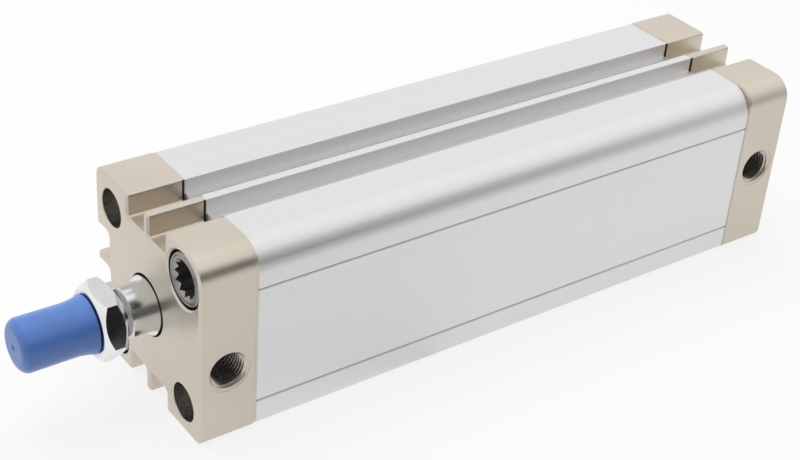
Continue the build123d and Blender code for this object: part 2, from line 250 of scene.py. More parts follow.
def rounded_outline(corners):
    """Outline as points from (y, z, radius) corners, each rounded by its radius."""
    points = []
    for i, (y, z, radius) in enumerate(corners):
        here = Vector((y, z))
        if radius == 0:
            points.append(here)
            continue
        back = (Vector(corners[i - 1][:2]) - here).normalized()
        ahead = (Vector(corners[(i + 1) % len(corners)][:2]) - here).normalized()
        half = back.angle(ahead) / 2
        centre = here + (back + ahead).normalized() * (radius / sin(half))
        first = here + back * (radius / tan(half)) - centre
        last = here + ahead * (radius / tan(half)) - centre
        start = atan2(first.y, first.x)
        sweep = (atan2(last.y, last.x) - start + pi) % (2 * pi) - pi
        steps = max(3, ceil(abs(sweep) / ARC_STEP))
        for k in range(steps + 1):
            angle = start + sweep * k / steps
            points.append(centre + Vector((cos(angle), sin(angle))) * radius)
    return points


def inset(points, distance):
    """Outline moved inwards by a distance, its sides kept parallel."""
    moved = []
    for i, here in enumerate(points):
        back = (here - points[i - 1]).normalized()
        ahead = (points[(i + 1) % len(points)] - here).normalized()
        normal = Vector((back.y, -back.x)) + Vector((ahead.y, -ahead.x))
        moved.append(here - normal * (distance / (1 + back.dot(ahead))))
    return moved


def loft(rings):
    """Closed bmesh through (x, points) rings along X, with flat ends."""
    bm = bmesh.new()
    loops = [[bm.verts.new((x, p.x, p.y)) for p in points] for x, points in rings]
    for low, high in zip(loops, loops[1:]):
        count = len(low)
        for i in range(count):
            j = (i + 1) % count
            bm.faces.new((low[i], low[j], high[j], high[i]))
    bm.faces.new(list(reversed(loops[0])))
    bm.faces.new(loops[-1])
    return bm


def lathe(profile, segments=ROUND_SEGMENTS, closed=False):
    """Bmesh turned about the X axis from (x, radius) points; closed joins the last to the first."""
    bm = bmesh.new()
    rings = []
    for x, radius in profile:
        if radius == 0:
            rings.append([bm.verts.new((x, 0, 0))])
            continue
        turns = [2 * pi * k / segments for k in range(segments)]
        rings.append([bm.verts.new((x, radius * cos(t), radius * sin(t))) for t in turns])
    pairs = list(zip(rings, rings[1:]))
    if closed:
        pairs.append((rings[-1], rings[0]))
    for low, high in pairs:
        for k in range(segments):
            n = (k + 1) % segments
            corners = [low[k % len(low)], low[n % len(low)], high[n % len(high)], high[k % len(high)]]
            distinct = list(dict.fromkeys(corners))
            if len(distinct) > 2:
                bm.faces.new(distinct)
    return bm


def drill(x_low, x_high, radius, segments=ROUND_SEGMENTS):
    """Plain round cutter along X."""
    return lathe([(x_low, 0), (x_low, radius), (x_high, radius), (x_high, 0)], segments)


def thread_solid(x_low, x_high, major, minor, pitch, tip=None):
    """Closed screw along X with a trapezoid thread; tip is the length of a cone at the low end."""
    share = ((0.0, minor), (0.14, minor), (0.44, major), (0.70, major))
    turns = ceil((x_high - x_low) / pitch) + 2
    bm = bmesh.new()
    columns = []
    for step in range((turns + 1) * THREAD_SEGMENTS + 1):
        angle = 2 * pi * step / THREAD_SEGMENTS
        column = []
        for part, radius in share:
            x = x_low + pitch * (step / THREAD_SEGMENTS + part - 2)
            held = min(max(x, x_low), x_high)
            if tip is not None:
                radius = min(radius, minor - tip + (held - x_low))
            column.append(bm.verts.new((held, radius * cos(angle), radius * sin(angle))))
        columns.append(column)
    for step in range(turns * THREAD_SEGMENTS):
        here, ahead = columns[step], columns[step + 1]
        above, above_ahead = columns[step + THREAD_SEGMENTS], columns[step + THREAD_SEGMENTS + 1]
        strip = here + [above[0]]
        strip_ahead = ahead + [above_ahead[0]]
        for k in range(len(share)):
            corners = (strip[k], strip_ahead[k], strip_ahead[k + 1], strip[k + 1])
            places = {round(v.co.x, 9) for v in corners}
            if len(places) > 1 or not places <= {round(x_low, 9), round(x_high, 9)}:
                bm.faces.new(corners)
    loose = [v for v in bm.verts if not v.link_faces]
    bmesh.ops.delete(bm, geom=loose, context="VERTS")
    bmesh.ops.remove_doubles(bm, verts=bm.verts, dist=WELD)
    bmesh.ops.dissolve_degenerate(bm, edges=bm.edges, dist=WELD)
    bmesh.ops.holes_fill(bm, edges=[e for e in bm.edges if e.is_boundary], sides=0)
    return bm


def moved(bm, matrix):
    """The same bmesh, moved."""
    bmesh.ops.transform(bm, matrix=matrix, verts=bm.verts)
    return bm


def shifted(bm, x=0.0, y=0.0, z=0.0):
    return moved(bm, Matrix.Translation((x, y, z)))


def joined(name, target, tools, operation):
    """Result of a boolean of the target object with each tool's bmesh in turn."""
    for number, tool in enumerate(tools):
        cutter = new_object(name + "_tool_" + str(number), tool)
        modifier = target.modifiers.new("cut", "BOOLEAN")
        modifier.operation = operation
        modifier.solver = "EXACT"
        modifier.object = cutter
        depsgraph = bpy.context.evaluated_depsgraph_get()
        result = bpy.data.meshes.new_from_object(target.evaluated_get(depsgraph))
        target.modifiers.clear()
        target.data = result
        bpy.data.objects.remove(cutter)
    target.data.name = name
    return target


def dress(obj, slot, body, node, edge=0.0):
    """Shade a finished piece, give it its slot's material and let it stand for its node."""
    mesh = obj.data
    mesh.polygons.foreach_set("use_smooth", [True] * len(mesh.polygons))
    if edge:
        bevel = obj.modifiers.new("edges", "BEVEL")
        bevel.width = edge
        bevel.segments = EDGE_SEGMENTS
        bevel.limit_method = "ANGLE"
        bevel.angle_limit = SHARP_ANGLE
        bevel.harden_normals = True
    mesh.set_sharp_from_angle(angle=SHARP_ANGLE)
    weighted = obj.modifiers.new("normals", "WEIGHTED_NORMAL")
    weighted.keep_sharp = True
    weighted.weight = 100
    mesh.materials.clear()
    mesh.materials.append(materials[slot])
    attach(obj, body)
    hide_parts(node)
    return obj


def section(width, depth, base_radius, rim_radius, corner_radius, groove, lines):
    """Outline of the square section with a rib between two channels on three of its sides."""
    half = width / 2
    floor = half - depth
    right = [(CHANNEL_HALF_WIDTH, half, rim_radius), (CHANNEL_HALF_WIDTH, floor, base_radius)]
    if groove:
        right += [(GROOVE_OUTER, floor, 0), (GROOVE_OUTER, floor - GROOVE_DEPTH, 0)]
        right += [(GROOVE_INNER, floor - GROOVE_DEPTH, 0), (GROOVE_INNER, floor, 0)]
    right += [(RIB_HALF, floor, base_radius), (RIB_HALF, half, rim_radius)]
    top = right + [(-y, z, radius) for y, z, radius in reversed(right)]
    corners = [(half, -half, corner_radius)]
    corners += [(z, -y, radius) for y, z, radius in top]
    corners += [(half, half, SMALL_CORNER_RADIUS)]
    corners += top
    corners += [(-half, half, corner_radius)]
    if lines:
        for height in LINE_HEIGHTS:
            corners += [(-half, height + LINE_HALF_WIDTH, 0), (-half + LINE_DEPTH, height, 0)]
            corners += [(-half, height - LINE_HALF_WIDTH, 0)]
    corners += [(-half, -half, SMALL_CORNER_RADIUS)]
    corners += [(-y, -z, radius) for y, z, radius in top]
    return rounded_outline(corners)


def in_channel(point):
    """Whether a point of the outline is a wall or a floor of the channels beside a rib."""
    deep = min(abs(point.x), abs(point.y))
    reach = max(abs(point.x), abs(point.y))
    return deep < CHANNEL_HALF_WIDTH + COVER_RIM_RADIUS and reach < BODY_WIDTH / 2 - COVER_RIM_RADIUS / 2


def seam_outline(outline):
    """Outline at the seam: chamfered all round and stepped back further in the channels."""
    shallow = inset(outline, SEAM_CHAMFER)
    deep = inset(outline, SEAM_STEP)
    return [deep[i] if in_channel(point) else shallow[i] for i, point in enumerate(outline)]


def cover_blank():
    """Blank of a cover from its bevelled outer face at x = 0 to its chamfered seam."""
    outline = section(BODY_WIDTH, COVER_CHANNEL_DEPTH, COVER_BASE_RADIUS, COVER_RIM_RADIUS,
                      CORNER_RADIUS, False, False)
    rings = [(0, inset(outline, COVER_EDGE_WIDTH)), (COVER_EDGE_DEPTH, outline)]
    seam = seam_outline(outline)
    rings.append((COVER_LENGTH - SEAM_LENGTH, outline))
    rings.append((COVER_LENGTH - SEAM_LENGTH + SEAM_CHAMFER, seam))
    rings.append((COVER_LENGTH, seam))
    return loft(rings)


def spigot():
    """Spigot with its ring groove and the seat of the bumper."""
    end = COVER_LENGTH + SPIGOT_LENGTH
    middle = COVER_LENGTH + SPIGOT_LENGTH / 2
    seat_inner, seat_outer, seat_depth = BUMPER_SEAT
    return lathe([
        (COVER_LENGTH - OVERRUN, 0),
        (COVER_LENGTH - OVERRUN, SPIGOT_RADIUS),
        (middle - SPIGOT_GROOVE_HALF, SPIGOT_RADIUS),
        (middle - SPIGOT_GROOVE_HALF, SPIGOT_GROOVE_RADIUS),
        (middle + SPIGOT_GROOVE_HALF, SPIGOT_GROOVE_RADIUS),
        (middle + SPIGOT_GROOVE_HALF, SPIGOT_RADIUS),
        (end, SPIGOT_RADIUS),
        (end, seat_outer),
        (end - seat_depth, seat_outer),
        (end - seat_depth, seat_inner),
        (end, seat_inner),
        (end, 0),
    ])


def chamfered_drill(depth, radius, chamfer):
    """Cutter along X from outside x = 0 to a depth, with a chamfer at its mouth."""
    wide = radius + chamfer + OVERRUN
    return lathe([(-OVERRUN, 0), (-OVERRUN, wide), (chamfer, radius), (depth, radius), (depth, 0)])


def corner_cutters():
    """Cutters of the recessed mounting threads and of the screws' recesses."""
    seam = COVER_LENGTH + OVERRUN
    cutters = []
    for y, z in MOUNT_CORNERS:
        recess = chamfered_drill(MOUNT_RECESS_DEPTH, MOUNT_RECESS_RADIUS, MOUTH_CHAMFER)
        cutters.append(shifted(recess, 0, y, z))
        thread = thread_solid(MOUNT_RECESS_DEPTH - MOUNT_PITCH, seam, MOUNT_MAJOR, MOUNT_MINOR, MOUNT_PITCH)
        cutters.append(shifted(thread, 0, y, z))
    for y, z in SCREW_CORNERS:
        recess = chamfered_drill(SCREW_RECESS_DEPTH, SCREW_RECESS_RADIUS, SCREW_MOUTH_CHAMFER)
        cutters.append(shifted(recess, 0, y, z))
        cutters.append(shifted(drill(SCREW_RECESS_DEPTH - OVERRUN, seam, SCREW_HOLE_RADIUS), 0, y, z))
    return cutters


def port_cutters(height):
    """Cutters of a threaded port: spot face, mouth, thread and the crosswise start of its passage."""
    to_port = Matrix.Translation((PORT_X, front_low.y, height)) @ Matrix.Rotation(pi / 2, 4, "Z")
    spot = drill(-OVERRUN, SPOT_DEPTH, SPOT_RADIUS)
    mouth = lathe([
        (-OVERRUN, 0),
        (-OVERRUN, PORT_MAJOR + PORT_CHAMFER + OVERRUN),
        (PORT_CHAMFER, PORT_MAJOR + APART),
        (PORT_CHAMFER + (PORT_MAJOR - PORT_MINOR), PORT_MINOR),
        (PORT_CHAMFER + (PORT_MAJOR - PORT_MINOR), 0),
    ])
    thread = thread_solid(PORT_CHAMFER / 2, PORT_DEPTH, PORT_MAJOR, PORT_MINOR, PORT_PITCH)
    reach = -front_low.y - sqrt(PASSAGE_CIRCLE ** 2 - height ** 2)
    passage = drill(PORT_DEPTH - OVERRUN, reach, PASSAGE_RADIUS, PASSAGE_SEGMENTS)
    return [moved(bm, to_port) for bm in (spot, mouth, thread, passage)]


def rod_cutter():
    """Stepped cutter of the rod's hole: lip, seal groove and bushing bore."""
    end = COVER_LENGTH + SPIGOT_LENGTH + OVERRUN
    return lathe([
        (-OVERRUN, 0),
        (-OVERRUN, ROD_LIP_RADIUS + MOUTH_CHAMFER + OVERRUN),
        (MOUTH_CHAMFER, ROD_LIP_RADIUS),
        (ROD_LIP_LENGTH, ROD_LIP_RADIUS),
        (ROD_LIP_LENGTH, ROD_SEAL_RADIUS),
        (ROD_SEAL_END, ROD_SEAL_RADIUS),
        (ROD_SEAL_END, BUSHING_RADIUS),
        (end, BUSHING_RADIUS),
        (end, 0),
    ])


def mirror_to_rear(obj):
    """Mirror a piece made at the front end to the same place at the rear end."""
    obj.data.transform(Matrix.Translation((TOTAL_LENGTH, 0, 0)) @ Matrix.Scale(-1, 4, (1, 0, 0)))
    obj.data.flip_normals()


def add_materials(mesh, *names):
    """Add materials to a mesh after its first one, and give the number of each."""
    for name in names:
        mesh.materials.append(materials[name])
    return range(1, len(names) + 1)


def cover(name, node, end, at_rear):
    """One end cover, made at the front and mirrored to the rear where asked."""
    obj = new_object(name, cover_blank())
    joined(name, obj, [spigot()], "UNION")
    cutters = corner_cutters() + port_cutters(PORT_HEIGHTS[end])
    if not at_rear:
        cutters.append(rod_cutter())
    joined(name, obj, cutters, "DIFFERENCE")
    if at_rear:
        mirror_to_rear(obj)
    dress(obj, "cover_paint", "barrel", node)
    finish_cover_faces(obj, PORT_HEIGHTS[end])
    return obj


def in_hole(place, depth, corners, radius, chamfer):
    """Whether a face lies in one of the corner holes of that radius, behind its mouth."""
    near = min((place - Vector(corner)).length for corner in corners)
    return near < radius + MOUTH_CHAMFER / 2 and depth > chamfer


def finish_cover_faces(obj, port_height):
    """Painted shade in the channel seams and the rod's gap, lighter painted shade at the side seam, bare
    metal in the holes.
    """
    mesh = obj.data
    shadow, bored, side = add_materials(mesh, "seam_shadow", "bored_metal", "side_seam")
    for face in mesh.polygons:
        depth = min(face.center.x, TOTAL_LENGTH - face.center.x)
        place = Vector((face.center.y, face.center.z))
        outside_bore = max(abs(place.x), abs(place.y)) > BORE_RADIUS
        near_side = place.x < CORNER_RADIUS * NEAR_SIDE_SHARE - BODY_WIDTH / 2
        near_side = near_side and face.center.x > TOTAL_LENGTH / 2
        away = abs(depth - COVER_LENGTH)
        at_seam = away < SEAM_LENGTH and outside_bore and in_channel(place)
        at_side_seam = near_side and away < SEAM_LENGTH - SEAM_CHAMFER
        in_rod_gap = face.center.x < ROD_LIP_LENGTH and place.length < ROD_LIP_RADIUS + MOUTH_CHAMFER
        in_port = hypot(depth - PORT_X, place.y - port_height) < PORT_MAJOR + PORT_CHAMFER / 2
        in_port = in_port and front_low.y + PORT_CHAMFER + PORT_PITCH < place.x < front_low.y + PORT_DEPTH
        in_mount = in_hole(place, depth, MOUNT_CORNERS, MOUNT_RECESS_RADIUS, MOUTH_CHAMFER)
        in_recess = in_hole(place, depth, SCREW_CORNERS, SCREW_RECESS_RADIUS, SCREW_MOUTH_CHAMFER)
        # Painted shade: near black in the channel seams, and on the rod's lip, where it also stands for the
        # black wiper seal.
        if in_rod_gap or at_seam:
            face.material_index = shadow
        # Painted shade: a darker coat colour along the near side seam of the rear cover, where shade falls
        # in the joint.
        elif at_side_seam:
            face.material_index = side
        elif in_port or in_mount or in_recess:
            face.material_index = bored


def tube():
    """Extruded tube with its bore and the four corner holes."""
    outline = section(TUBE_WIDTH, TUBE_CHANNEL_DEPTH, TUBE_BASE_RADIUS, TUBE_RIM_RADIUS,
                      CORNER_RADIUS + TUBE_EXTRA_ROUNDING, True, True)
    start, end = tube_low.x, tube_high.x
    blank = loft([
        (start, inset(outline, TUBE_CHAMFER)),
        (start + TUBE_CHAMFER, outline),
        (end - TUBE_CHAMFER, outline),
        (end, inset(outline, TUBE_CHAMFER)),
    ])
    obj = new_object("tube_profile", blank)
    cutters = [drill(start - OVERRUN, end + OVERRUN, BORE_RADIUS)]
    for corners, radius in ((MOUNT_CORNERS, MOUNT_CHANNEL_RADIUS), (SCREW_CORNERS, SCREW_SHANK_RADIUS)):
        for y, z in corners:
            channel = drill(start - OVERRUN, end + OVERRUN, radius, CHANNEL_SEGMENTS)
            cutters.append(shifted(channel, 0, y, z))
    joined("tube_profile", obj, cutters, "DIFFERENCE")
    dress(obj, "tube_aluminium", "barrel", "profile_tube")
    finish_lines(obj)
    return obj


def finish_lines(obj):
    """Painted shade on the walls of the two V lines along the near side."""
    mesh = obj.data
    shadow, = add_materials(mesh, "line_shadow")
    for face in mesh.polygons:
        in_line = min(abs(face.center.z - height) for height in LINE_HEIGHTS) < LINE_HALF_WIDTH
        sunk = 0 < face.center.y + TUBE_WIDTH / 2 < LINE_DEPTH
        if in_line and sunk:
            face.material_index = shadow


def star_cutter():
    """Star-shaped cutter of a screw's socket along X."""
    points = []
    for step in range(2 * STAR_POINTS):
        radius = STAR_ROOT if step % 2 else STAR_TIP
        angle = pi * step / STAR_POINTS
        points.append(Vector((radius * cos(angle), radius * sin(angle))))
    return loft([(-OVERRUN, points), (SCREW_SINK + STAR_DEPTH, points)])


def screw_solid():
    """Cover screw on the X axis with turned rings on the face of its head."""
    face = []
    radius = STAR_MOUTH + RING_STEP / 2
    while radius < SCREW_GROOVE_RADIUS - SCREW_GROOVE_HALF - RING_STEP:
        face.append((SCREW_SINK, radius))
        face.append((SCREW_SINK + RING_DEPTH, radius + RING_STEP / 2))
        radius += RING_STEP
    profile = [(SCREW_SINK, 0)] + face + [
        (SCREW_SINK, SCREW_GROOVE_RADIUS - SCREW_GROOVE_HALF),
        (SCREW_SINK + SCREW_GROOVE_HALF, SCREW_GROOVE_RADIUS),
        (SCREW_SINK, SCREW_GROOVE_RADIUS + SCREW_GROOVE_HALF),
        (SCREW_SINK, SCREW_HEAD_RADIUS - SCREW_EDGE),
        (SCREW_SINK + SCREW_EDGE, SCREW_HEAD_RADIUS),
        (SCREW_RECESS_DEPTH, SCREW_HEAD_RADIUS),
        (SCREW_RECESS_DEPTH, SCREW_SHANK_RADIUS),
        (screw_high.x - SCREW_EDGE, SCREW_SHANK_RADIUS),
        (screw_high.x, SCREW_SHANK_RADIUS - SCREW_EDGE),
        (screw_high.x, 0),
    ]
    return lathe(profile)


def screws(name, node, at_rear):
    """The two screws of a cover."""
    obj = new_object(name, screw_solid())
    mouth_depth = SCREW_SINK + STAR_MOUTH - STAR_ROOT
    mouth = lathe([(-OVERRUN, 0), (-OVERRUN, STAR_MOUTH + SCREW_SINK + OVERRUN), (mouth_depth, STAR_ROOT),
                   (mouth_depth, 0)])
    point = lathe([(SCREW_SINK + STAR_DEPTH - OVERRUN, 0), (SCREW_SINK + STAR_DEPTH - OVERRUN, STAR_ROOT),
                   (SCREW_SINK + STAR_DEPTH, STAR_ROOT), (SCREW_SINK + STAR_DEPTH + STAR_ROOT / 2, 0)])
    joined(name, obj, [star_cutter(), mouth, point], "DIFFERENCE")
    bm = bmesh.new()
    for number, (y, z) in enumerate(SCREW_CORNERS):
        bm.from_mesh(obj.data)
        bm.verts.ensure_lookup_table()
        half = len(bm.verts) // 2 if number else 0
        bmesh.ops.translate(bm, vec=(0, y, z), verts=bm.verts[half:])
    bm.to_mesh(obj.data)
    bm.free()
    if at_rear:
        mirror_to_rear(obj)
    return dress(obj, "screw_steel", "barrel", node)


def flat_cutter():
    """Cutter of a wrench flat on the +Y side, with the round run-out of the milling cutter."""
    start = ROD_SHOULDER - ROD_EDGE
    outer = 2 * ROD_RADIUS
    outline = [(start, FLAT_HALF)]
    for k in range(CURVE_STEPS + 1):
        angle = pi / 2 * k / CURVE_STEPS
        x = FLAT_START - FLAT_RUNOUT * (1 - sin(angle))
        outline.append((x, FLAT_HALF + FLAT_RUNOUT * (1 - cos(angle))))
    outline += [(FLAT_START, outer), (start, outer)]
    bm = bmesh.new()
    low, high = ([bm.verts.new((x, y, z)) for x, y in outline] for z in (-outer, outer))
    bm.faces.new(low)
    bm.faces.new(list(reversed(high)))
    for i in range(len(outline)):
        j = (i + 1) % len(outline)
        bm.faces.new((low[j], low[i], high[i], high[j]))
    return bm


def rod():
    """Piston rod with its wrench flats, shoulder, relief, thread and the piston's stud."""
    tip = rod_low.x
    relief_end = ROD_SHOULDER - RELIEF_LENGTH
    stud_end = rod_high.x
    stud_start = stud_end - STUD_LENGTH
    edge = ROD_END_EDGE
    shaft = lathe([
        (tip + edge, 0),
        (tip + edge, RELIEF_RADIUS - edge),
        (ROD_SHOULDER, RELIEF_RADIUS - edge),
        (ROD_SHOULDER, ROD_RADIUS - ROD_EDGE),
        (ROD_SHOULDER + ROD_EDGE, ROD_RADIUS),
        (stud_start, ROD_RADIUS),
        (stud_start, STUD_RADIUS),
        (stud_end - edge, STUD_RADIUS),
        (stud_end, STUD_RADIUS - edge),
        (stud_end, 0),
    ])
    obj = new_object("rod_shaft", shaft)
    relief = lathe([
        (relief_end - edge, 0),
        (relief_end - edge, RELIEF_RADIUS),
        (ROD_SHOULDER + edge, RELIEF_RADIUS),
        (ROD_SHOULDER + edge, 0),
    ])
    thread = thread_solid(tip, relief_end, ROD_MAJOR, ROD_MINOR, ROD_PITCH, tip=edge)
    joined("rod_shaft", obj, [relief, thread], "UNION")
    centre = lathe([(tip - OVERRUN, 0), (tip - OVERRUN, CENTRE_RADIUS + OVERRUN), (tip, CENTRE_RADIUS),
                    (tip + CENTRE_DEPTH, 0)], CENTRE_SEGMENTS)
    blocks = [moved(flat_cutter(), Matrix.Rotation(radians(FLAT_ANGLE + turn), 4, "X")) for turn in (0, 180)]
    joined("rod_shaft", obj, blocks + [centre], "DIFFERENCE")
    return dress(obj, "rod_chrome", "rod", "piston_rod")


def nut():
    """Hexagon nut: a prism cut by a cone at both ends; its thread turns clear of the rod's."""
    low, high = nut_low.x, nut_high.x
    corner_radius = NUT_FLATS / sqrt(3)
    points = []
    for k in range(6):
        angle = radians(60 * k + NUT_TURN)
        points.append(Vector((corner_radius * cos(angle), corner_radius * sin(angle))))
    obj = new_object("nut_hexagon", loft([(low - OVERRUN, points), (high + OVERRUN, points)]))
    face_radius = NUT_FLATS / 2 * NUT_FACE_SHARE
    chamfer = (corner_radius - face_radius) * NUT_CHAMFER_SLOPE
    barrel = lathe([
        (low, 0),
        (low, face_radius),
        (low + chamfer, corner_radius + APART),
        (high - chamfer, corner_radius + APART),
        (high, face_radius),
        (high, 0),
    ])
    joined("nut_hexagon", obj, [barrel], "INTERSECT")
    thread = thread_solid(low - ROD_PITCH, high + ROD_PITCH, NUT_MAJOR, NUT_MINOR, ROD_PITCH)
    mouths = []
    for face, way in ((low, 1), (high, -1)):
        mouths.append(lathe([
            (face - way * OVERRUN, 0),
            (face - way * OVERRUN, ROD_MAJOR + NUT_MOUTH_WIDENING + OVERRUN),
            (face + way * NUT_MOUTH_DEPTH, NUT_MINOR),
            (face + way * NUT_MOUTH_DEPTH, 0),
        ]))
    joined("nut_hexagon", obj, mouths + [thread], "DIFFERENCE")
    dress(obj, "nut_chrome", "nut", "rod_nut", edge=NUT_EDGE)
    # Painted highlight: the chamfer cone gets a lighter colour than the flats, besides its rougher turned
    # finish.
    cone, = add_materials(obj.data, "nut_cone")
    for face in obj.data.polygons:
        on_cone = NUT_CONE_SLOPES[0] < abs(face.normal.x) < NUT_CONE_SLOPES[1]
        if on_cone and hypot(face.center.y, face.center.z) > face_radius * NUT_CONE_SHARE:
            face.material_index = cone
    return obj


def cap():
    """Soft cap: a flared rim, a slight taper, a rounded closed end and a small moulding mark."""
    rim, end = cap_high.x, cap_low.x
    wall_end = rod_low.x - CAP_END_GAP
    rim_radius = cap_high.y
    outside = [(rim, CAP_INNER + CAP_EDGE), (rim, rim_radius - CAP_EDGE), (rim - CAP_EDGE, rim_radius)]
    arc_radius = (CAP_FLARE ** 2 + (rim_radius - CAP_WAIST) ** 2) / (2 * (rim_radius - CAP_WAIST))
    for k in range(1, CURVE_STEPS + 1):
        along = CAP_FLARE * (1 - k / CURVE_STEPS)
        radius = CAP_WAIST + arc_radius - sqrt(arc_radius ** 2 - along ** 2)
        outside.append((rim - CAP_FLARE + along, radius))
    for k in range(1, DOME_STEPS + 1):
        angle = pi / 2 * k / DOME_STEPS
        outside.append((end + CAP_DOME * (1 - sin(angle)), CAP_END_RADIUS - CAP_DOME * (1 - cos(angle))))
    mark_edge, mark_floor = CAP_MARK_DEPTHS
    outside += [(end, CAP_MARK * CAP_MARK_SHARE), (end + mark_edge, CAP_MARK), (end + mark_floor, 0)]
    inside = [
        (wall_end, 0),
        (wall_end, CAP_INNER - CAP_INNER_BEVEL),
        (wall_end + CAP_INNER_BEVEL, CAP_INNER),
        (rim - CAP_RIM_BEVEL, CAP_INNER),
    ]
    obj = new_object("cap_sleeve", lathe(outside + inside, closed=True))
    return dress(obj, "cap_plastic", "cap", "thread_cap")


class Shader:
    """Node material whose colour, roughness and bump come from textures in object space."""

    def __init__(self, name):
        self.material = bpy.data.materials.new(name)
        self.material.use_nodes = True
        self.tree = self.material.node_tree
        self.principled = self.tree.nodes["Principled BSDF"]
        self.coordinates = self.tree.nodes.new("ShaderNodeTexCoord")

    def link(self, source, target):
        self.tree.links.new(source, target)

    def set(self, **values):
        for key, value in values.items():
            self.principled.inputs[key.replace("_", " ")].default_value = value

    def stretched(self, scale):
        """Object coordinates multiplied by a scale on each axis."""
        mapping = self.tree.nodes.new("ShaderNodeMapping")
        mapping.inputs["Scale"].default_value = scale
        self.link(self.coordinates.outputs["Object"], mapping.inputs["Vector"])
        return mapping.outputs["Vector"]

    def noise(self, scale, detail=3.0, roughness=0.5):
        """Noise with as many cells per metre on each axis as scale says."""
        node = self.tree.nodes.new("ShaderNodeTexNoise")
        node.inputs["Scale"].default_value = 1.0
        node.inputs["Detail"].default_value = detail
        node.inputs["Roughness"].default_value = roughness
        self.link(self.stretched(scale), node.inputs["Vector"])
        return node.outputs["Fac"]

    def ramp(self, factor, stops):
        """Colour ramp with (place, colour) stops."""
        node = self.tree.nodes.new("ShaderNodeValToRGB")
        elements = node.color_ramp.elements
        elements[0].position, elements[0].color = stops[0][0], stops[0][1]
        elements[1].position, elements[1].color = stops[-1][0], stops[-1][1]
        for place, colour in stops[1:-1]:
            element = elements.new(place)
            element.color = colour
        self.link(factor, node.inputs["Fac"])
        return node.outputs["Color"]

    def span(self, factor, low, high, out_low, out_high):
        """Factor from low to high mapped to out_low to out_high."""
        node = self.tree.nodes.new("ShaderNodeMapRange")
        node.inputs["From Min"].default_value = low
        node.inputs["From Max"].default_value = high
        node.inputs["To Min"].default_value = out_low
        node.inputs["To Max"].default_value = out_high
        self.link(factor, node.inputs["Value"])
        return node.outputs["Result"]

    def total(self, first, second, share):
        """First plus second times a share."""
        node = self.tree.nodes.new("ShaderNodeMath")
        node.operation = "MULTIPLY_ADD"
        self.link(second, node.inputs[0])
        node.inputs[1].default_value = share
        self.link(first, node.inputs[2])
        return node.outputs[0]

    def bump(self, height, distance, strength=1.0):
        node = self.tree.nodes.new("ShaderNodeBump")
        node.inputs["Strength"].default_value = strength
        node.inputs["Distance"].default_value = distance
        self.link(height, node.inputs["Height"])
        self.link(node.outputs["Normal"], self.principled.inputs["Normal"])

    def colour(self, socket):
        self.link(socket, self.principled.inputs["Base Color"])

    def rough(self, socket):
        self.link(socket, self.principled.inputs["Roughness"])


def shade(colour, factor):
    """The colour made lighter or darker."""
    return tuple(c * factor for c in colour[:3]) + (1.0,)


def coated(name, colour):
    """Warm satin coating on cast metal, with a fine grain and faint clouds."""
    s = Shader(name)
    s.set(Metallic=0.85)
    clouds = s.noise((45, 45, 45), 4)
    s.colour(s.ramp(clouds, [(0.3, shade(colour, 0.965)), (0.7, shade(colour, 1.03))]))
    grain = s.noise((1500, 1500, 1500), 3)
    fine = s.noise((5200, 5200, 5200), 2)
    s.rough(s.span(grain, 0.3, 0.7, 0.34, 0.41))
    s.bump(s.total(grain, fine, 0.6), 0.00001, 0.1)
    return s.material


def drawn(name, colour):
    """Anodised extrusion with fine lines along its length."""
    s = Shader(name)
    s.set(Metallic=0.95)
    lines = s.noise((6, 2600, 2600), 4, 0.6)
    broad = s.noise((2, 260, 260), 3)
    tone = s.total(lines, broad, 0.5)
    s.colour(s.ramp(tone, [(0.45, shade(colour, 0.97)), (1.05, shade(colour, 1.02))]))
    s.rough(s.span(tone, 0.5, 1.0, 0.44, 0.54))
    s.bump(tone, 0.00001, 0.35)
    return s.material


def chrome(name, colour, scratch, low_rough, high_rough):
    """Bright plated steel with faint scratches and handling marks."""
    s = Shader(name)
    s.set(Metallic=1.0)
    smudge = s.noise((160, 160, 160), 4)
    marks = s.noise((900, 2200, 1400), 5, 0.7)
    s.colour(s.ramp(smudge, [(0.35, shade(colour, 0.94)), (0.65, shade(colour, 1.0))]))
    s.rough(s.span(s.total(smudge, marks, scratch), 0.3, 0.7 + scratch, low_rough, high_rough))
    s.bump(marks, 0.000012, 0.3 * scratch)
    return s.material


def turned_steel(name, colour):
    """Machined metal with a grain that is finer along X than across it."""
    s = Shader(name)
    s.set(Metallic=1.0)
    grain = s.noise((2600, 900, 900), 4)
    s.colour(s.ramp(grain, [(0.3, shade(colour, 0.85)), (0.7, shade(colour, 1.05))]))
    s.rough(s.span(grain, 0.3, 0.7, 0.24, 0.4))
    s.bump(grain, 0.00002, 0.4)
    return s.material


def soft_plastic(name, colour):
    """Soft moulded plastic, a little see-through at its skin."""
    s = Shader(name)
    s.set(Subsurface_Weight=0.12, Subsurface_Scale=0.002, Coat_Weight=0.3, Coat_Roughness=0.3)
    clouds = s.noise((120, 120, 120), 3)
    s.colour(s.ramp(clouds, [(0.3, shade(colour, 0.94)), (0.7, shade(colour, 1.06))]))
    skin = s.noise((1800, 1800, 1800), 3)
    s.rough(s.span(skin, 0.3, 0.7, 0.34, 0.44))
    s.bump(skin, 0.00002, 0.25)
    return s.material


def plain(name, colour, metallic, low_rough, high_rough, cells):
    """Simple grained surface, for the pieces inside and for the painted shade in gaps."""
    s = Shader(name)
    s.set(Metallic=metallic)
    grain = s.noise((cells, cells, cells), 4)
    s.colour(s.ramp(grain, [(0.3, shade(colour, 0.85)), (0.7, shade(colour, 1.1))]))
    s.rough(s.span(grain, 0.3, 0.7, low_rough, high_rough))
    s.bump(grain, 0.00002, 0.3)
    return s.material


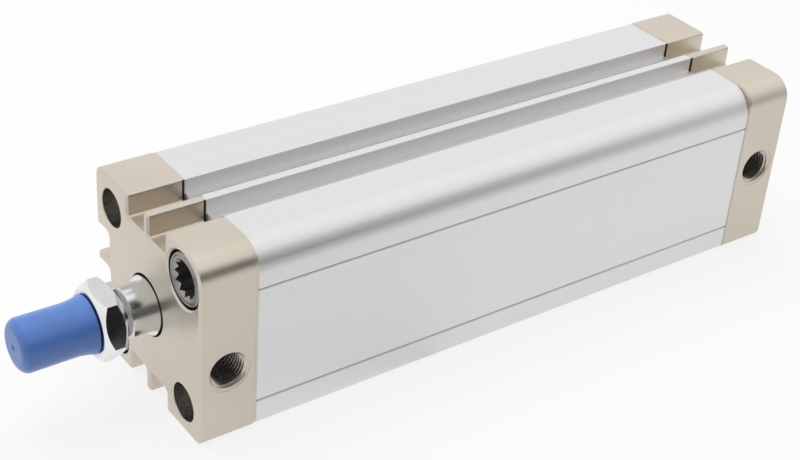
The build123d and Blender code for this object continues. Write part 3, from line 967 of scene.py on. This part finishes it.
materials = {
    "cover_paint": coated("satin_cover_coat", (0.685, 0.62, 0.53, 1)),
    "tube_aluminium": drawn("drawn_anodised_tube", (0.835, 0.828, 0.83, 1)),
    # Painted shade: a darker copy of the tube finish for the walls of the V lines.
    "line_shadow": drawn("line_wall_painted_shade", (0.635, 0.62, 0.635, 1)),
    "screw_steel": turned_steel("turned_screw_steel", (0.36, 0.345, 0.335, 1)),
    "seal_rubber": plain("black_seal_rubber", (0.02, 0.02, 0.02, 1), 0.0, 0.55, 0.75, 1200),
    "bushing_bronze": plain("oiled_bronze", (0.50, 0.30, 0.12, 1), 1.0, 0.3, 0.45, 1600),
    "bumper_plastic": plain("green_bumper", (0.05, 0.12, 0.08, 1), 0.0, 0.45, 0.6, 900),
    "piston_aluminium": plain("turned_piston", (0.62, 0.62, 0.62, 1), 1.0, 0.25, 0.4, 1500),
    "magnet_plastic": plain("bonded_magnet", (0.03, 0.03, 0.03, 1), 0.0, 0.5, 0.7, 2500),
    "guide_plastic": plain("guide_ring_plastic", (0.66, 0.64, 0.58, 1), 0.0, 0.35, 0.5, 1200),
    "inner_steel": plain("zinc_plated_steel", (0.50, 0.50, 0.50, 1), 1.0, 0.25, 0.4, 1500),
    "rod_chrome": chrome("ground_rod_chrome", (0.76, 0.79, 0.815, 1), 0.15, 0.12, 0.19),
    "nut_chrome": chrome("plated_nut_chrome", (0.74, 0.735, 0.755, 1), 0.3, 0.05, 0.13),
    # Rougher turned finish for the nut's cone, with a lighter colour as a painted highlight.
    "nut_cone": chrome("turned_nut_cone_painted_highlight", (0.92, 0.92, 0.915, 1), 0.3, 0.22, 0.34),
    "cap_plastic": soft_plastic("blue_cap_plastic", (0.09, 0.215, 0.60, 1)),
    "bored_metal": turned_steel("bored_cover_metal", (0.56, 0.545, 0.51, 1)),
    # Near-black painted shade for the seams in the channels and the gap round the rod.
    "seam_shadow": plain("seam_shadow", (0.03, 0.028, 0.025, 1), 0.0, 0.7, 0.85, 1500),
    # Painted shade: a darker copy of the cover coat for the near side seam.
    "side_seam": coated("side_seam_painted_shade", (0.53, 0.51, 0.48, 1)),
}


def dress_cad_nodes():
    """Give every CAD node the material of its slot."""
    for part in frame["record"]["subparts"]:
        node = frame["nodes"][part["node"]]
        node.data.materials.clear()
        node.data.materials.append(materials[part["material_slot"]])


def place_camera():
    """Camera at the photograph's angle, turned about its own view line by the roll."""
    azimuth, elevation, roll = (radians(a) for a in (CAMERA_AZIMUTH, CAMERA_ELEVATION, CAMERA_ROLL))
    back = Vector((sin(azimuth) * cos(elevation), -cos(azimuth) * cos(elevation), sin(elevation)))
    right = Vector((cos(azimuth), sin(azimuth), 0))
    up = back.cross(right)
    rolled_right = right * cos(roll) + up * sin(roll)
    rolled_up = up * cos(roll) - right * sin(roll)
    data = bpy.data.cameras.new("camera")
    data.lens = CAMERA_LENS
    data.sensor_width = 36.0
    data.clip_start = 0.01
    camera = bpy.data.objects.new("camera", data)
    bpy.context.scene.collection.objects.link(camera)
    turn = Matrix((rolled_right, rolled_up, back)).transposed().to_4x4()
    camera.matrix_world = Matrix.Translation(CAMERA_TARGET + back * CAMERA_DISTANCE) @ turn
    bpy.context.scene.camera = camera


def seen_rays(tree):
    """Light Path node, and a socket that is 1 where the camera, gloss or glass sees the surface."""
    path = tree.nodes.new("ShaderNodeLightPath")
    seen = path.outputs["Is Camera Ray"]
    for kind in ("Is Glossy Ray", "Is Transmission Ray"):
        node = tree.nodes.new("ShaderNodeMath")
        node.operation = "MAXIMUM"
        tree.links.new(seen, node.inputs[0])
        tree.links.new(path.outputs[kind], node.inputs[1])
        seen = node.outputs[0]
    return path, seen


def floor():
    """Large plain floor that shows nearly white to the camera and keeps the object's shadow."""
    bm = bmesh.new()
    bmesh.ops.create_grid(bm, x_segments=1, y_segments=1, size=FLOOR_SIZE / 2)
    shifted(bm, TOTAL_LENGTH / 2, 0, FLOOR_HEIGHT)
    obj = new_object("floor", bm)
    material = bpy.data.materials.new("floor_white")
    material.use_nodes = True
    tree = material.node_tree
    tree.nodes.clear()
    seen = seen_rays(tree)[1]
    share = tree.nodes.new("ShaderNodeMath")
    share.operation = "MULTIPLY"
    share.inputs[1].default_value = FLOOR_GLOW_SHARE
    tree.links.new(seen, share.inputs[0])
    diffuse = tree.nodes.new("ShaderNodeBsdfDiffuse")
    diffuse.inputs["Color"].default_value = FLOOR_COLOUR
    glow = tree.nodes.new("ShaderNodeEmission")
    glow.inputs["Color"].default_value = (1, 1, 1, 1)
    glow.inputs["Strength"].default_value = 1.0
    mix = tree.nodes.new("ShaderNodeMixShader")
    output = tree.nodes.new("ShaderNodeOutputMaterial")
    tree.links.new(share.outputs[0], mix.inputs["Fac"])
    tree.links.new(diffuse.outputs[0], mix.inputs[1])
    tree.links.new(glow.outputs[0], mix.inputs[2])
    tree.links.new(mix.outputs[0], output.inputs["Surface"])
    obj.data.materials.append(material)


def lamp(name, place, aim, size, power):
    """Rectangular soft lamp that points at a place."""
    data = bpy.data.lights.new(name, "AREA")
    data.shape = "RECTANGLE"
    data.size, data.size_y = size
    data.energy = power
    obj = bpy.data.objects.new(name, data)
    bpy.context.scene.collection.objects.link(obj)
    direction = Vector(aim) - Vector(place)
    obj.matrix_world = Matrix.Translation(place) @ direction.to_track_quat("-Z", "Y").to_matrix().to_4x4()
    return obj


def world():
    """Plain world: soft grey light on the object, white where the camera or metal sees it."""
    scene = bpy.context.scene
    scene.world = bpy.data.worlds.new("world")
    scene.world.use_nodes = True
    tree = scene.world.node_tree
    background = tree.nodes["Background"]
    path, seen = seen_rays(tree)
    strength = tree.nodes.new("ShaderNodeMapRange")
    strength.inputs["To Min"].default_value = WORLD_ON_OBJECT
    strength.inputs["To Max"].default_value = WORLD_IN_GLOSS
    tree.links.new(seen, strength.inputs["Value"])
    total = tree.nodes.new("ShaderNodeMath")
    total.operation = "MULTIPLY_ADD"
    total.inputs[1].default_value = WORLD_CAMERA_EXTRA
    tree.links.new(path.outputs["Is Camera Ray"], total.inputs[0])
    tree.links.new(strength.outputs["Result"], total.inputs[2])
    background.inputs["Color"].default_value = (1, 1, 1, 1)
    tree.links.new(total.outputs[0], background.inputs["Strength"])


def dark_wall():
    """Dark side of the studio, seen only in the metal's reflections and by soft surfaces."""
    bm = bmesh.new()
    low, high = FLOOR_HEIGHT, FLOOR_HEIGHT + DARK_WALL_HEIGHT
    ends = DARK_WALL_ENDS
    corners = [(ends[0], low), (ends[1], low), (ends[1], high), (ends[0], high)]
    bm.faces.new([bm.verts.new((x, -DARK_WALL_DISTANCE, z)) for x, z in corners])
    mesh = bpy.data.meshes.new("dark_wall")
    bm.to_mesh(mesh)
    bm.free()
    obj = bpy.data.objects.new("dark_wall", mesh)
    bpy.context.scene.collection.objects.link(obj)
    material = bpy.data.materials.new("dark_room")
    material.use_nodes = True
    shader = material.node_tree.nodes["Principled BSDF"]
    shader.inputs["Base Color"].default_value = DARK_WALL_COLOUR
    shader.inputs["Roughness"].default_value = 1.0
    shader.inputs["Specular IOR Level"].default_value = 0.0
    mesh.materials.append(material)
    obj.visible_camera = False
    obj.visible_shadow = False
    obj.visible_transmission = False


def light_the_scene():
    middle = (TOTAL_LENGTH / 2, 0, 0)
    top = lamp("top_light", TOP_LIGHT_PLACE, middle, TOP_LIGHT_SIZE, TOP_LIGHT_POWER)
    top.visible_glossy = False
    panel = lamp("upper_panel", PANEL_PLACE, middle, PANEL_SIZE, PANEL_POWER)
    panel.visible_diffuse = False
    dark_wall()
    world()


dress_cad_nodes()
cover("cover_front", "front_cover", "front", False)
cover("cover_rear", "rear_cover", "rear", True)
tube()
screws("screws_front", "front_cover_screws", False)
screws("screws_rear", "rear_cover_screws", True)
rod()
nut()
cap()
place_camera()
floor()
light_the_scene()

bpy.context.scene.view_settings.view_transform = "Standard"
